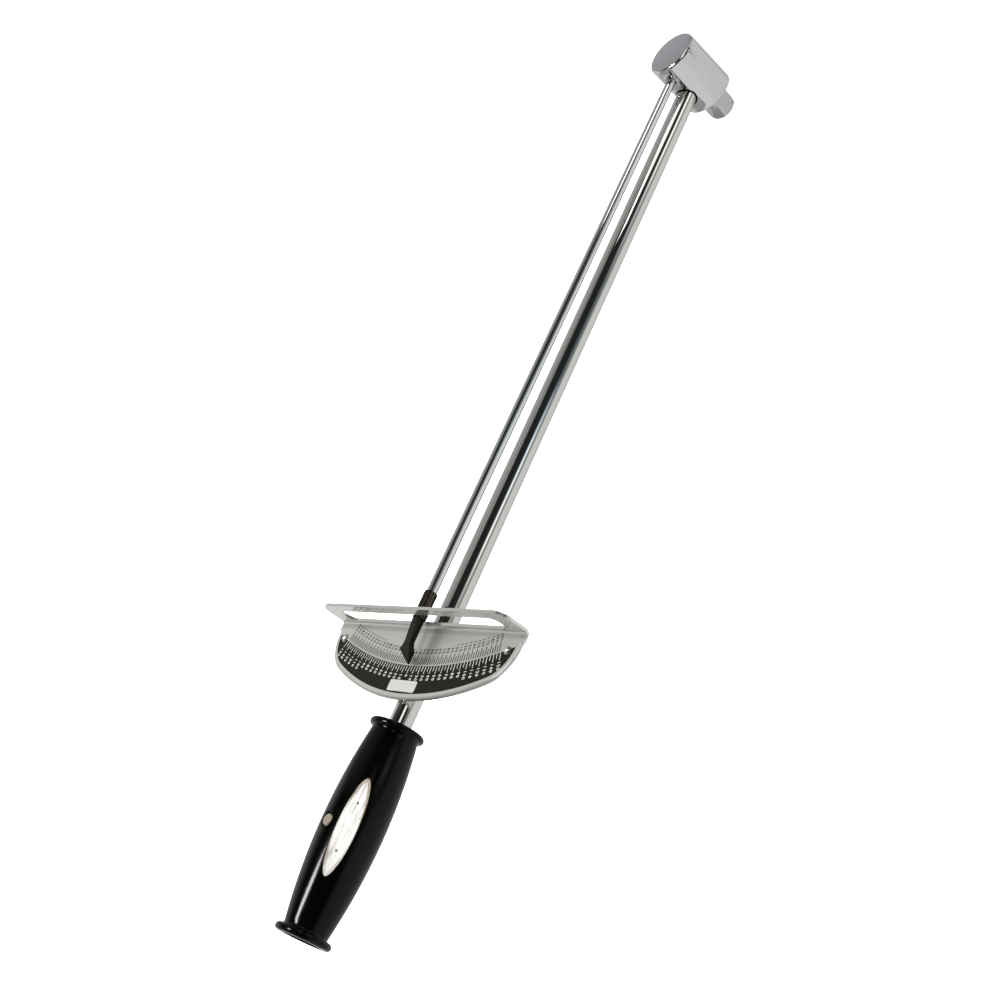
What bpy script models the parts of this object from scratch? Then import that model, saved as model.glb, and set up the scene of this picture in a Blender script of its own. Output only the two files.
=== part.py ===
# Beam torque wrench, half-inch square drive. Metres, Z up.
# X runs along the beam towards the head, and Z = 0 is the end of the drive.
from math import acos, asin, atan, cos, degrees, pi, radians, sin, sqrt, tan

import bmesh
import bpy
from mathutils import Matrix, Vector

FIT = 0.0003
CUT_OVER = 0.002
SKIM = 0.0001
ROUND_STEPS = 48

# Drive head and square
HEAD_RADIUS = 0.0155
HEAD_FLOOR = 0.0078
HEAD_COVER = 0.00665
HEAD_TOP_ROUND = 0.0019
HEAD_FOOT_ROUND = 0.0007
DRIVE_SIDE = 0.0127
DRIVE_LENGTH = 0.0160
DRIVE_CORNER_TRIM = 0.00048
DRIVE_END_ROUND = 0.0014
DRIVE_ROOT = 0.0030

# Detent ball and its spring, in the forward face of the square
BALL_RADIUS = 0.00238
BALL_STANDOUT = 0.0011
BALL_HEIGHT = 0.0072
BALL_CLEARANCE = 0.00012
BALL_LIP = 0.00018
BALL_LIP_THICKNESS = 0.0002
BALL_HOLE_DEPTH = 0.0090
SPRING_WIRE = 0.00022
SPRING_TURNS = 5

# Beam
BEAM_RADIUS = 0.0060
BEAM_IN_HEAD = 0.0090
BEAM_TAIL = 0.0190
BEAM_END_CHAMFER = 0.0008
BEAM_SINK = 0.0005

# Pointer rod
ROD_RADIUS = 0.00275
ROD_CLIMB = 0.0014
ROD_IN_HEAD = 0.0060
ROD_IN_FERRULE = 0.0100
ROD_END_CHAMFER = 0.0003
ROD_DROP = 0.0006

# Pointer
FERRULE_RADIUS = 0.0035
FERRULE_LENGTH = 0.0156
FERRULE_ROUND = 0.0012
FERRULE_TAIL_ROUND = 0.0004
FERRULE_INSET = 0.0004
FERRULE_RIBS = 12
FERRULE_RIB_HEIGHT = 0.00025
STEM_HALF_WIDTH = 0.0024
STEM_HEIGHT = 0.0044
STEM_TOP = 0.0026
STEM_ROOT = 0.0020
WAIST_HALF_WIDTH = 0.0021
WAIST_HEIGHT = 0.0032
ARROW_HALF_WIDTH = 0.0041
ARROW_HEIGHT = 0.0040
ARROW_TOP = 0.0075
ARROW_LENGTH = 0.0054
ARROW_FLARE = 0.0048
TIP_HALF_WIDTH = 0.0003
TIP_HEIGHT = 0.0007
TIP_CLEARANCE = 0.0012

# Scale, struck from the middle of the beam's bend
FLEX_X = -0.1976
SCALE_RADIUS = 0.2004
SCALE_SPAN = 18.9
STOP_PAST_SCALE = 1.25

# Scale plate, a stamped sheet with an upright guard
SHEET = 0.0016
TIP_REACH = 0.0216
PLATE_REACH = 0.03965
PLATE_MARGIN = 0.00787
PLATE_CORNER = 0.0220
PLATE_SIDE = 0.0042
PLATE_EDGE_ROUND = 0.0011
PLATE_LAP = 0.0010
GUARD_LAP = 0.0040
GUARD_OVERHANG = 0.0008
GUARD_TOP_BAR = 0.0057
GUARD_CORNER = 0.0080
BEND_RADIUS = 0.0012
WINDOW_SILL = 0.0024
WINDOW_CLEARANCE = 0.0016
WINDOW_END = 0.0056

# Pointer stops, riveted into the plate
STOP_RADIUS = 0.0022
STOP_HEIGHT = 0.0013
STOP_SHANK = 0.0011
STOP_TAIL = 0.0006

# Saddle under the plate, clamped on the beam
SADDLE_LENGTH = 0.0200
SADDLE_SETBACK = 0.0045
SADDLE_PARTING = 0.0016
SADDLE_ROOF = 0.0007
SADDLE_SIDE = 0.0015
CAP_FLOOR = 0.0023
CAP_ROUND = 0.0012
SCREW_RADIUS = 0.0020
SCREW_WALL = 0.0012
SCREW_HEAD_RADIUS = 0.0035
SCREW_HEAD = 0.0040
SCREW_HEAD_CHAMFER = 0.0003
SCREW_SOCKET = 0.0016
SCREW_SOCKET_DEPTH = 0.0020
SCREW_REACH = 0.0040

# Handle
HANDLE_GAP = 0.01115
GRIP_FRONT = 0.0547
GRIP_REAR = 0.0529
GRIP_PLAY = 0.0028
GRIP_WALL = 0.0069
GRIP_BELLY = 0.0039
GRIP_TAPER = 0.0049
GRIP_MOUTH = 0.0012
GRIP_FILLET = 0.0012
FLANGE_SET = 0.0014
FLANGE_WIDTH = 0.0038
PIN_RADIUS = 0.0032
PIN_SINK = 0.0003
PIN_ROUND = 0.0005
PIN_RING = 0.0009
FACET_ANGLE = 46.0
FACET_DEPTH = 0.00103
NAMEPLATE_THICKNESS = 0.0004
NAMEPLATE_MARGIN = 0.0004
RIVET_SPACING = 0.0235
RIVET_RADIUS = 0.0007
RIVET_HEAD = 0.0004
RIVET_SHANK = 0.0004
RIVET_DEPTH = 0.0025

# Heights, from the end of the drive up through the beam, the plate and the rod
HEAD_BOTTOM = DRIVE_LENGTH
BEAM_AXIS_HEIGHT = HEAD_BOTTOM + HEAD_FLOOR + BEAM_RADIUS
SADDLE_TOP = BEAM_AXIS_HEIGHT + BEAM_RADIUS + FIT + SADDLE_ROOF
PLATE_TOP = SADDLE_TOP + FIT + SHEET
WINDOW_HEIGHT = 2.0 * (FERRULE_RADIUS + WINDOW_CLEARANCE)
GUARD_TOP = PLATE_TOP + WINDOW_SILL + WINDOW_HEIGHT + GUARD_TOP_BAR
ROD_END_Z = PLATE_TOP + WINDOW_SILL + WINDOW_HEIGHT / 2.0 - ROD_DROP
ROD_HEAD_Z = ROD_END_Z - ROD_CLIMB
HEAD_TOP = ROD_HEAD_Z + ROD_RADIUS + HEAD_COVER

# Places along the beam, from the middle of its bend back to the handle
TIP_X = FLEX_X - SCALE_RADIUS
GUARD_X = TIP_X + TIP_REACH
PLATE_BOTTOM_X = GUARD_X - PLATE_REACH
FERRULE_TAIL_X = GUARD_X + FERRULE_INSET
FERRULE_HEAD_X = FERRULE_TAIL_X + FERRULE_LENGTH
ROD_END_X = FERRULE_HEAD_X - ROD_IN_FERRULE
GRIP_FRONT_X = PLATE_BOTTOM_X - HANDLE_GAP
PIN_X = GRIP_FRONT_X - GRIP_FRONT
GRIP_REAR_X = PIN_X - GRIP_REAR

# Widths that follow the scale's spread
STOP_ANGLE = SCALE_SPAN + STOP_PAST_SCALE
PLATE_HALF_WIDTH = SCALE_RADIUS * sin(radians(STOP_ANGLE)) + PLATE_MARGIN
GUARD_HALF_WIDTH = PLATE_HALF_WIDTH + GUARD_OVERHANG
WINDOW_HALF_WIDTH = (FLEX_X - GUARD_X) * tan(radians(SCALE_SPAN)) + WINDOW_END

# Saddle screws beside the beam
SCREW_OFFSET = BEAM_RADIUS + FIT + SCREW_WALL + SCREW_HEAD_RADIUS
SADDLE_HALF_WIDTH = SCREW_OFFSET + SCREW_HEAD_RADIUS + SADDLE_SIDE
CAP_DEPTH = BEAM_RADIUS + FIT + CAP_FLOOR - SADDLE_PARTING / 2.0

# Barrel round the beam
GRIP_BORE = BEAM_RADIUS + GRIP_PLAY
GRIP_RADIUS = GRIP_BORE + GRIP_WALL
FLANGE_RADIUS = GRIP_RADIUS - FLANGE_SET
BELLY_X = PIN_X + GRIP_BELLY
HALF_GRIP = (GRIP_FRONT + GRIP_REAR) / 2.0
FACET_HEIGHT = GRIP_RADIUS - FACET_DEPTH
FACET_SLOPE = 2.0 * GRIP_TAPER * GRIP_BELLY / HALF_GRIP ** 2

for old in list(bpy.data.objects):
    bpy.data.objects.remove(old, do_unlink=True)

scene = bpy.context.scene
parts = bpy.data.collections.new("beam_torque_wrench")
cutters = bpy.data.collections.new("cutters")
scene.collection.children.link(parts)
scene.collection.children.link(cutters)


def material(name, colour, roughness, metallic):
    mat = bpy.data.materials.new(name)
    mat.use_nodes = True
    shader = mat.node_tree.nodes["Principled BSDF"]
    shader.inputs["Base Color"].default_value = (*colour, 1.0)
    shader.inputs["Roughness"].default_value = roughness
    shader.inputs["Metallic"].default_value = metallic
    mat.diffuse_color = (*colour, 1.0)
    return mat


chrome = material("chrome", (0.62, 0.64, 0.62), 0.12, 1.0)
beam_chrome = material("beam_chrome", (0.70, 0.72, 0.73), 0.08, 1.0)
satin_steel = material("satin_steel", (0.55, 0.56, 0.54), 0.35, 1.0)
zinc_steel = material("zinc_steel", (0.48, 0.49, 0.50), 0.40, 1.0)
black_plastic = material("black_plastic", (0.015, 0.014, 0.013), 0.45, 0.0)
gloss_black = material("gloss_black", (0.012, 0.012, 0.012), 0.12, 0.0)
nickel = material("nickel", (0.60, 0.52, 0.40), 0.28, 1.0)
bright_plate = material("bright_plate", (0.85, 0.85, 0.83), 0.30, 1.0)
spring_steel = material("spring_steel", (0.35, 0.35, 0.36), 0.35, 1.0)


def add_object(name, mesh, where=parts):
    obj = bpy.data.objects.new(name, mesh)
    where.objects.link(obj)
    return obj


def mesh_from(bm, name):
    mesh = bpy.data.meshes.new(name)
    bm.normal_update()
    bm.to_mesh(mesh)
    bm.free()
    return mesh


def shade_round(obj, crease=32):
    obj.data.shade_smooth()
    obj.data.set_sharp_from_angle(angle=radians(crease))


def finish(obj, mat, name):
    # evaluates the modifiers once and stores the plain solid under its own name
    dep = bpy.context.evaluated_depsgraph_get()
    mesh = bpy.data.meshes.new_from_object(obj.evaluated_get(dep))
    mesh.materials.clear()
    mesh.materials.append(mat)
    done = add_object(name, mesh)
    done.matrix_world = obj.matrix_world.copy()
    bpy.data.objects.remove(obj, do_unlink=True)
    shade_round(done)
    return done


def as_cutter(obj):
    for owner in list(obj.users_collection):
        owner.objects.unlink(obj)
    cutters.objects.link(obj)
    obj.hide_render = True
    obj.display_type = "WIRE"
    return obj


def boolean(obj, other, operation):
    bpy.context.view_layer.update()
    mod = obj.modifiers.new(operation.lower(), "BOOLEAN")
    mod.solver = "EXACT"
    mod.operation = operation
    mod.object = as_cutter(other)
    return obj


def turned(name, profile, steps=ROUND_STEPS, axis="Z"):
    # profile is (radius, height) from the top to the bottom of the outer side
    bm = bmesh.new()
    verts = [bm.verts.new((r, 0.0, z)) for r, z in profile]
    for a, b in zip(verts, verts[1:]):
        bm.edges.new((a, b))
    obj = add_object(name, mesh_from(bm, name))
    screw = obj.modifiers.new("turn", "SCREW")
    screw.angle = 2.0 * pi
    screw.steps = steps
    screw.render_steps = steps
    screw.use_merge_vertices = True
    screw.merge_threshold = 0.00001
    screw.use_smooth_shade = True
    bpy.context.view_layer.update()
    dep = bpy.context.evaluated_depsgraph_get()
    mesh = bpy.data.meshes.new_from_object(obj.evaluated_get(dep))
    bpy.data.objects.remove(obj, do_unlink=True)
    solid = add_object(name, mesh)
    if axis == "X":
        mesh.transform(Matrix.Rotation(radians(90.0), 4, "Y"))
    return solid


def round_bar(name, radius, length, chamfer=0.0, steps=ROUND_STEPS, axis="Z"):
    # stands on the origin, with its far end at the given length
    profile = [(0.0, length)]
    if chamfer:
        profile += [(radius - chamfer, length), (radius, length - chamfer)]
        profile += [(radius, chamfer), (radius - chamfer, 0.0)]
    else:
        profile += [(radius, length), (radius, 0.0)]
    profile += [(0.0, 0.0)]
    return turned(name, profile, steps, axis)


def box(name, x0, x1, y0, y1, z0, z1):
    bm = bmesh.new()
    bmesh.ops.create_cube(bm, size=1.0)
    size = Vector((x1 - x0, y1 - y0, z1 - z0))
    middle = Vector((x1 + x0, y1 + y0, z1 + z0)) / 2.0
    bmesh.ops.scale(bm, vec=size, verts=bm.verts)
    bmesh.ops.translate(bm, vec=middle, verts=bm.verts)
    return add_object(name, mesh_from(bm, name))


def arc(cx, cy, radius, start, end, count):
    # count + 1 points on an arc, in degrees
    step = (end - start) / count
    angles = [radians(start + step * i) for i in range(count + 1)]
    return [(cx + radius * cos(a), cy + radius * sin(a)) for a in angles]


def prism(name, outline, low, high, plane="XY"):
    # a flat outline, filled and given its thickness between two levels
    curve = bpy.data.curves.new(name, "CURVE")
    curve.dimensions = "2D"
    curve.fill_mode = "BOTH"
    curve.extrude = (high - low) / 2.0
    spline = curve.splines.new("POLY")
    spline.points.add(len(outline) - 1)
    for point, (u, v) in zip(spline.points, outline):
        point.co = (u, v, 0.0, 1.0)
    spline.use_cyclic_u = True
    flat = add_object(name, curve)
    bpy.context.view_layer.update()
    dep = bpy.context.evaluated_depsgraph_get()
    mesh = bpy.data.meshes.new_from_object(flat.evaluated_get(dep))
    bpy.data.objects.remove(flat, do_unlink=True)
    bm = bmesh.new()
    bm.from_mesh(mesh)
    bmesh.ops.remove_doubles(bm, verts=bm.verts, dist=0.000001)
    bmesh.ops.dissolve_limit(bm, angle_limit=radians(1.0), verts=bm.verts, edges=bm.edges)
    bmesh.ops.translate(bm, vec=(0.0, 0.0, (low + high) / 2.0), verts=bm.verts)
    if plane == "YZ":
        stand = Matrix(((0, 0, 1, 0), (1, 0, 0, 0), (0, 1, 0, 0), (0, 0, 0, 1)))
        bmesh.ops.transform(bm, matrix=stand, verts=bm.verts)
    if plane == "XZ":
        stand = Matrix(((1, 0, 0, 0), (0, 0, -1, 0), (0, 1, 0, 0), (0, 0, 0, 1)))
        bmesh.ops.transform(bm, matrix=stand, verts=bm.verts)
    bmesh.ops.recalc_face_normals(bm, faces=bm.faces)
    bm.to_mesh(mesh)
    bm.free()
    return add_object(name, mesh)


def rod_place():
    # the rod's own frame: its X runs down the rod from the head
    start = Vector((0.0, 0.0, ROD_HEAD_Z))
    end = Vector((ROD_END_X, 0.0, ROD_END_Z))
    turn = (end - start).to_track_quat("X", "Z")
    return Matrix.Translation(start) @ turn.to_matrix().to_4x4(), (end - start).length


rodMatrix, rodLength = rod_place()
rodStart = HEAD_RADIUS - ROD_IN_HEAD


def quarter(x, z, radius, start, end, count):
    # a rounded edge of a turned shape, as radius and height, in degrees from the axis of the turn
    step = (end - start) / count
    angles = [radians(start + step * i) for i in range(count + 1)]
    return [(x + radius * sin(a), z + radius * cos(a)) for a in angles]


# Drive head: one forging, the turned head with its square below
def build_head():
    rt = HEAD_TOP_ROUND
    rf = HEAD_FOOT_ROUND
    rim = quarter(HEAD_RADIUS - rt, HEAD_TOP - rt, rt, 0.0, 90.0, 4)
    foot = quarter(HEAD_RADIUS - rf, HEAD_BOTTOM + rf, rf, 90.0, 180.0, 2)
    head = turned("head_blank", [(0.0, HEAD_TOP)] + rim + foot + [(0.0, HEAD_BOTTOM)], 64)

    # the square is milled on a turned blank, which leaves its corners trimmed and its end rounded
    half = DRIVE_SIDE / 2.0
    root = HEAD_BOTTOM + DRIVE_ROOT
    square = box("square", -half, half, -half, half, 0.0, root - DRIVE_ROOT / 2.0)
    re = DRIVE_END_ROUND
    rb = DRIVE_SIDE / sqrt(2.0) - DRIVE_CORNER_TRIM
    end = quarter(rb - re, re, re, 90.0, 180.0, 3)
    blank = turned("square_blank", [(0.0, root), (rb, root)] + end + [(0.0, 0.0)], 64)
    boolean(square, blank, "INTERSECT")
    boolean(head, square, "UNION")

    depth = BEAM_IN_HEAD + FIT
    hole = round_bar("beam_hole", BEAM_RADIUS + FIT, depth + HEAD_RADIUS + CUT_OVER, axis="X")
    hole.location = (-HEAD_RADIUS - CUT_OVER, 0.0, BEAM_AXIS_HEIGHT)
    boolean(head, hole, "DIFFERENCE")
    mouth = BEAM_RADIUS + FIT + BEAM_SINK
    deep = 3.0 * BEAM_SINK
    rest = sqrt(HEAD_RADIUS ** 2 - mouth ** 2)
    cone = [(0.0, rest + CUT_OVER), (mouth, rest + CUT_OVER), (mouth, rest)]
    cone += [(BEAM_RADIUS + FIT - SKIM, rest - deep), (0.0, rest - deep)]
    sink = turned("beam_sink", cone)
    sink.data.transform(Matrix.Rotation(radians(-90.0), 4, "Y"))
    sink.location = (0.0, 0.0, BEAM_AXIS_HEIGHT)
    boolean(head, sink, "DIFFERENCE")

    rodHole = round_bar("rod_hole", ROD_RADIUS + FIT, HEAD_RADIUS + CUT_OVER - rodStart, axis="X")
    rodHole.matrix_world = rodMatrix @ Matrix.Translation((rodStart, 0.0, 0.0))
    boolean(head, rodHole, "DIFFERENCE")

    seat = BALL_RADIUS + BALL_CLEARANCE
    pocket = round_bar("ball_pocket", seat, BALL_HOLE_DEPTH - BALL_LIP_THICKNESS, steps=24, axis="X")
    pocket.location = (half - BALL_HOLE_DEPTH, 0.0, BALL_HEIGHT)
    boolean(head, pocket, "DIFFERENCE")
    mouth = BALL_RADIUS - BALL_LIP
    lip = round_bar("ball_mouth", mouth, BALL_LIP_THICKNESS + 2.0 * CUT_OVER, steps=24, axis="X")
    lip.location = (half - BALL_LIP_THICKNESS - CUT_OVER, 0.0, BALL_HEIGHT)
    boolean(head, lip, "DIFFERENCE")
    return finish(head, chrome, "drive_head")


def build_detent():
    half = DRIVE_SIDE / 2.0
    centre = half + BALL_STANDOUT - BALL_RADIUS
    bm = bmesh.new()
    bmesh.ops.create_uvsphere(bm, u_segments=24, v_segments=14, radius=BALL_RADIUS)
    ball = add_object("ball", mesh_from(bm, "ball"))
    ball.location = (centre, 0.0, BALL_HEIGHT)
    bpy.context.view_layer.update()
    finish(ball, chrome, "detent_ball")

    floor = half - BALL_HOLE_DEPTH + BALL_CLEARANCE + SPRING_WIRE
    back = centre - BALL_RADIUS - BALL_CLEARANCE - SPRING_WIRE
    reach = BALL_RADIUS - SPRING_WIRE - BALL_CLEARANCE
    curve = bpy.data.curves.new("spring", "CURVE")
    curve.dimensions = "3D"
    curve.bevel_depth = SPRING_WIRE
    curve.bevel_resolution = 1
    curve.use_fill_caps = True
    count = SPRING_TURNS * 10
    spline = curve.splines.new("POLY")
    spline.points.add(count)
    for i, point in enumerate(spline.points):
        a = 2.0 * pi * i / 10.0
        x = floor + (back - floor) * i / count
        point.co = (x, reach * cos(a), BALL_HEIGHT + reach * sin(a), 1.0)
    coil = add_object("coil", curve)
    bpy.context.view_layer.update()
    finish(coil, spring_steel, "detent_spring")


def build_beam():
    length = BEAM_IN_HEAD - PIN_X + BEAM_TAIL
    beam = round_bar("bar", BEAM_RADIUS, length, BEAM_END_CHAMFER, axis="X")
    beam.location = (PIN_X - BEAM_TAIL, 0.0, BEAM_AXIS_HEIGHT)
    hole = round_bar("pin_hole", PIN_RADIUS + FIT, 4.0 * BEAM_RADIUS, steps=32)
    hole.location = (PIN_X, 0.0, BEAM_AXIS_HEIGHT - 2.0 * BEAM_RADIUS)
    boolean(beam, hole, "DIFFERENCE")
    return finish(beam, beam_chrome, "beam")


def build_rod():
    reach = rodLength - rodStart
    rod = round_bar("rod_bar", ROD_RADIUS, reach, ROD_END_CHAMFER, steps=32, axis="X")
    rod.matrix_world = rodMatrix @ Matrix.Translation((rodStart, 0.0, 0.0))
    bpy.context.view_layer.update()
    return finish(rod, beam_chrome, "pointer_rod")


def build_pointer():
    # moulded tip: a ribbed ferrule over the rod, then a stem that ends in an arrow
    front = rodLength - ROD_IN_FERRULE
    outer = FERRULE_RADIUS
    rr = FERRULE_ROUND
    rt = FERRULE_TAIL_ROUND
    nose = quarter(outer - rr, FERRULE_LENGTH - rr, rr, 0.0, 90.0, 3)
    tail = quarter(outer - rt, rt, rt, 90.0, 180.0, 2)
    ferrule = turned("ferrule", [(0.0, FERRULE_LENGTH)] + nose + tail + [(0.0, 0.0)], 48)
    ring = []
    step = 360.0 / FERRULE_RIBS
    for i in range(FERRULE_RIBS):
        mid = step * i
        ring += arc(0.0, 0.0, outer + SKIM, mid - 0.22 * step, mid + 0.22 * step, 2)
        low = outer - FERRULE_RIB_HEIGHT
        ring += arc(0.0, 0.0, low, mid + 0.32 * step, mid + 0.68 * step, 1)
    ribs = prism("ribs", ring, -CUT_OVER, FERRULE_LENGTH + CUT_OVER)
    boolean(ferrule, ribs, "INTERSECT")
    bpy.context.view_layer.update()
    ferrule = finish(ferrule, black_plastic, "ferrule_ribbed")
    ferrule.data.transform(Matrix.Rotation(radians(-90.0), 4, "Y"))
    ferrule.data.transform(Matrix.Translation((front + FERRULE_LENGTH, 0.0, 0.0)))
    ferrule.data.transform(rodMatrix)

    start = FERRULE_TAIL_X + STEM_ROOT
    shoulder = TIP_X + ARROW_LENGTH
    waist = shoulder + ARROW_FLARE
    half = [(start, STEM_HALF_WIDTH)]
    for k in range(5):
        t = k / 4.0
        wide = WAIST_HALF_WIDTH + (ARROW_HALF_WIDTH - WAIST_HALF_WIDTH) * t * t
        half.append((waist - ARROW_FLARE * t, wide))
    half.append((TIP_X, TIP_HALF_WIDTH))
    plan = half + [(x, -y) for x, y in reversed(half)]
    stemTop = ROD_END_Z + STEM_TOP
    arrowTop = PLATE_TOP + ARROW_TOP
    tipLow = PLATE_TOP + TIP_CLEARANCE
    side = [(start, stemTop), (shoulder, arrowTop), (TIP_X, tipLow + TIP_HEIGHT), (TIP_X, tipLow)]
    waistTop = arrowTop + (stemTop - arrowTop) * (waist - shoulder) / (start - shoulder)
    side += [(shoulder, arrowTop - ARROW_HEIGHT), (waist, waistTop - WAIST_HEIGHT)]
    side += [(start, stemTop - STEM_HEIGHT)]
    blade = prism("blade_plan", plan, PLATE_TOP - CUT_OVER, stemTop + CUT_OVER)
    profile = prism("blade_side", side, -2.0 * ARROW_HALF_WIDTH, 2.0 * ARROW_HALF_WIDTH, "XZ")
    boolean(blade, profile, "INTERSECT")
    boolean(blade, ferrule, "UNION")
    depth = ROD_IN_FERRULE + FIT + CUT_OVER
    bore = round_bar("rod_bore", ROD_RADIUS + FIT, depth, steps=32, axis="X")
    bore.matrix_world = rodMatrix @ Matrix.Translation((front - CUT_OVER, 0.0, 0.0))
    boolean(blade, bore, "DIFFERENCE")
    return finish(blade, black_plastic, "pointer")


def plate_outline(front):
    # straight sides, two large corners, and the bottom arc that runs smoothly into them
    cx = front - PLATE_SIDE
    cy = PLATE_HALF_WIDTH - PLATE_CORNER
    rise = cx - PLATE_BOTTOM_X
    radius = (rise ** 2 + cy ** 2 - PLATE_CORNER ** 2) / (2.0 * (rise - PLATE_CORNER))
    centre = PLATE_BOTTOM_X + radius
    meet = degrees(acos((centre - cx) / (radius - PLATE_CORNER)))
    right = arc(cx, cy, PLATE_CORNER, 90.0, 180.0 - meet, 8)
    base = arc(centre, 0.0, radius, 180.0 - meet, 180.0 + meet, 24)
    left = arc(cx, -cy, PLATE_CORNER, 180.0 + meet, 270.0, 8)
    ends = [(front, PLATE_HALF_WIDTH), (front, -PLATE_HALF_WIDTH)]
    return ends[:1] + right + base[1:-1] + left + ends[1:]


def stop_places():
    a = radians(STOP_ANGLE)
    return [(FLEX_X - SCALE_RADIUS * cos(a), side * SCALE_RADIUS * sin(a)) for side in (1.0, -1.0)]


def build_plate():
    # the fold: a flat foot, the bend with its inner and outer radius, and the upright
    t = SHEET
    inner = BEND_RADIUS
    outer = BEND_RADIUS + t
    back = GUARD_X + t
    foot = GUARD_X - inner - GUARD_LAP
    section = [(foot, PLATE_TOP - t)]
    section += arc(back - outer, PLATE_TOP - t + outer, outer, 270.0, 360.0, 6)
    section += [(back, GUARD_TOP), (GUARD_X, GUARD_TOP)]
    section += arc(GUARD_X - inner, PLATE_TOP + inner, inner, 360.0, 270.0, 6)
    section += [(foot, PLATE_TOP)]
    guard = prism("guard_section", section, -GUARD_HALF_WIDTH, GUARD_HALF_WIDTH, "XZ")
    c = GUARD_CORNER
    g = GUARD_HALF_WIDTH
    wide = g + CUT_OVER
    base = PLATE_TOP + outer
    face = [(-wide, PLATE_TOP - 2.0 * outer), (wide, PLATE_TOP - 2.0 * outer), (wide, base), (g, base)]
    face += arc(g - c, GUARD_TOP - c, c, 0.0, 90.0, 7)
    face += arc(c - g, GUARD_TOP - c, c, 90.0, 180.0, 7)
    face += [(-g, base), (-wide, base)]
    # the guard's own outline, kept wider than the foot so only the top corners are cut
    frame = prism("guard_face", face, foot - CUT_OVER, back + CUT_OVER, "YZ")
    boolean(guard, frame, "INTERSECT")
    r = WINDOW_HEIGHT / 2.0
    low = PLATE_TOP + WINDOW_SILL
    slot = arc(WINDOW_HALF_WIDTH - r, low + r, r, -90.0, 90.0, 10)
    slot += arc(r - WINDOW_HALF_WIDTH, low + r, r, 90.0, 270.0, 10)
    window = prism("window", slot, GUARD_X - CUT_OVER, back + CUT_OVER, "YZ")
    boolean(guard, window, "DIFFERENCE")

    front = GUARD_X - inner - PLATE_LAP
    plate = prism("plate_flat", plate_outline(front), PLATE_TOP - t, PLATE_TOP)
    bm = bmesh.new()
    bm.from_mesh(plate.data)
    near = t / 10.0
    rim = [e for e in bm.edges if all(v.co.z > PLATE_TOP - near for v in e.verts)]
    rim = [e for e in rim if min(v.co.x for v in e.verts) < front - near]
    rim = [e for e in rim if len({round(f.normal.z) for f in e.link_faces}) > 1]
    bmesh.ops.bevel(bm, geom=rim, offset=PLATE_EDGE_ROUND, offset_type="OFFSET", segments=3,
                    profile=0.5, affect="EDGES", clamp_overlap=True, material=-1)
    bm.to_mesh(plate.data)
    bm.free()
    boolean(plate, guard, "UNION")
    for x, y in stop_places():
        hole = round_bar("stop_hole", STOP_SHANK + FIT, 3.0 * t, steps=16)
        hole.location = (x, y, PLATE_TOP - 2.0 * t)
        boolean(plate, hole, "DIFFERENCE")
    return finish(plate, satin_steel, "scale_plate")


def build_stops():
    rise = PLATE_TOP + FIT
    r = STOP_RADIUS
    ball = (r ** 2 + STOP_HEIGHT ** 2) / (2.0 * STOP_HEIGHT)
    sweep = asin(r / ball)
    dome = quarter(0.0, rise + STOP_HEIGHT - ball, ball, 0.0, degrees(sweep), 5)
    low = PLATE_TOP - SHEET - STOP_TAIL
    profile = dome + [(STOP_SHANK, rise), (STOP_SHANK, low), (0.0, low)]
    for label, (x, y) in zip(("left", "right"), stop_places()):
        stud = turned("stud", profile, 24)
        stud.location = (x, y, 0.0)
        bpy.context.view_layer.update()
        finish(stud, chrome, "stop_stud_" + label)


def groove(name):
    cut = round_bar(name, BEAM_RADIUS + FIT, SADDLE_LENGTH + 2.0 * CUT_OVER, axis="X")
    cut.location = (GUARD_X - SADDLE_SETBACK - SADDLE_LENGTH - CUT_OVER, 0.0, BEAM_AXIS_HEIGHT)
    return cut


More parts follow.
